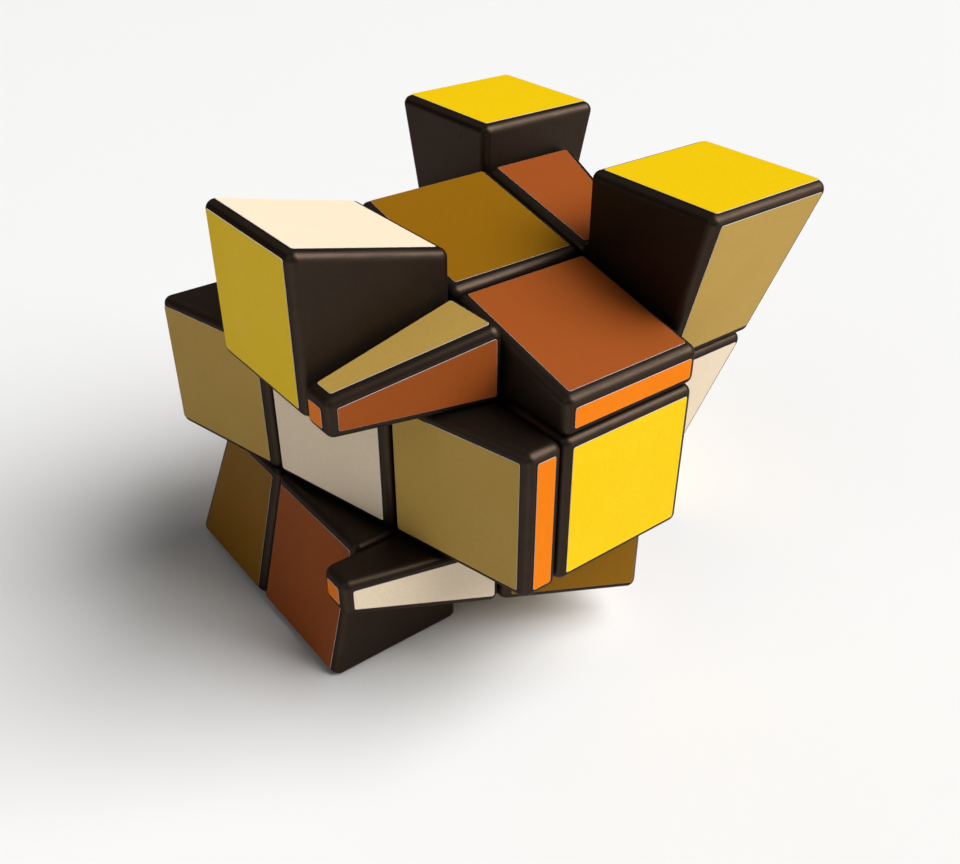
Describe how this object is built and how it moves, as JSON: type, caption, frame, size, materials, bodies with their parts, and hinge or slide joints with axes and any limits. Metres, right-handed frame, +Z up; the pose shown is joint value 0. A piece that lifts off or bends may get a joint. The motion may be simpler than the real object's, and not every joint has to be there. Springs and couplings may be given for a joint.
{
  "type": "mirror block cube",
  "caption": "Scrambled six-colour twisty puzzle whose slanted blocks turn in layers and solve into a square pyramid with its tip cut off.",
  "frame": {"origin": "on the surface the puzzle stands on, right under the centre of the core", "axes": "+Z up, along the axis that the upper and lower layers turn about; +X is the way the flat yellow centre faces; -Y is the way the cream centre faces"},
  "size_m": [0.057, 0.057, 0.057],
  "materials": {
    "black_plastic": "satin",
    "core_plastic": "satin",
    "steel": "bright zinc plated"
  },
  "bodies": {
    "middle_slice": {"core": "core_plastic", "screw_mustard": "steel", "washer_mustard": "steel", "spring_mustard": "steel", "screw_cream": "steel", "washer_cream": "steel", "spring_cream": "steel", "screw_yellow": "steel", "washer_yellow": "steel", "spring_yellow": "steel", "screw_orange": "steel", "washer_orange": "steel", "spring_orange": "steel", "screw_rust": "steel", "washer_rust": "steel", "spring_rust": "steel", "screw_khaki": "steel", "washer_khaki": "steel", "spring_khaki": "steel", "centre_body_yellow": "black_plastic", "centre_cap_yellow": "black_plastic", "centre_body_orange": "black_plastic", "centre_cap_orange": "black_plastic", "centre_body_cream": "black_plastic", "centre_cap_cream": "black_plastic", "centre_body_rust": "black_plastic", "centre_cap_rust": "black_plastic", "edge_orange_khaki": "black_plastic", "edge_yellow_khaki": "black_plastic", "edge_khaki_cream": "black_plastic", "edge_rust_khaki": "black_plastic"},
    "upper_layer": {"centre_body_mustard": "black_plastic", "centre_cap_mustard": "black_plastic", "edge_orange_rust": "black_plastic", "edge_yellow_cream": "black_plastic", "edge_rust_mustard": "black_plastic", "edge_orange_mustard": "black_plastic", "corner_orange_rust_khaki": "black_plastic", "corner_yellow_rust_khaki": "black_plastic", "corner_orange_cream_mustard": "black_plastic", "corner_yellow_mustard_rust": "black_plastic"},
    "lower_layer": {"centre_body_khaki": "black_plastic", "centre_cap_khaki": "black_plastic", "edge_yellow_rust": "black_plastic", "edge_cream_mustard": "black_plastic", "edge_orange_cream": "black_plastic", "edge_yellow_mustard": "black_plastic", "corner_orange_khaki_cream": "black_plastic", "corner_yellow_cream_mustard": "black_plastic", "corner_yellow_khaki_cream": "black_plastic", "corner_orange_mustard_rust": "black_plastic"}
  },
  "joints": [
    {"name": "upper_layer_turn", "type": "hinge", "parent": "middle_slice", "child": "upper_layer", "pos_m": [0, 0, 0.0285], "axis": [0, 0, 1], "continuous": true},
    {"name": "lower_layer_turn", "type": "hinge", "parent": "middle_slice", "child": "lower_layer", "pos_m": [0, 0, 0.0285], "axis": [0, 0, -1], "continuous": true}
  ]
}
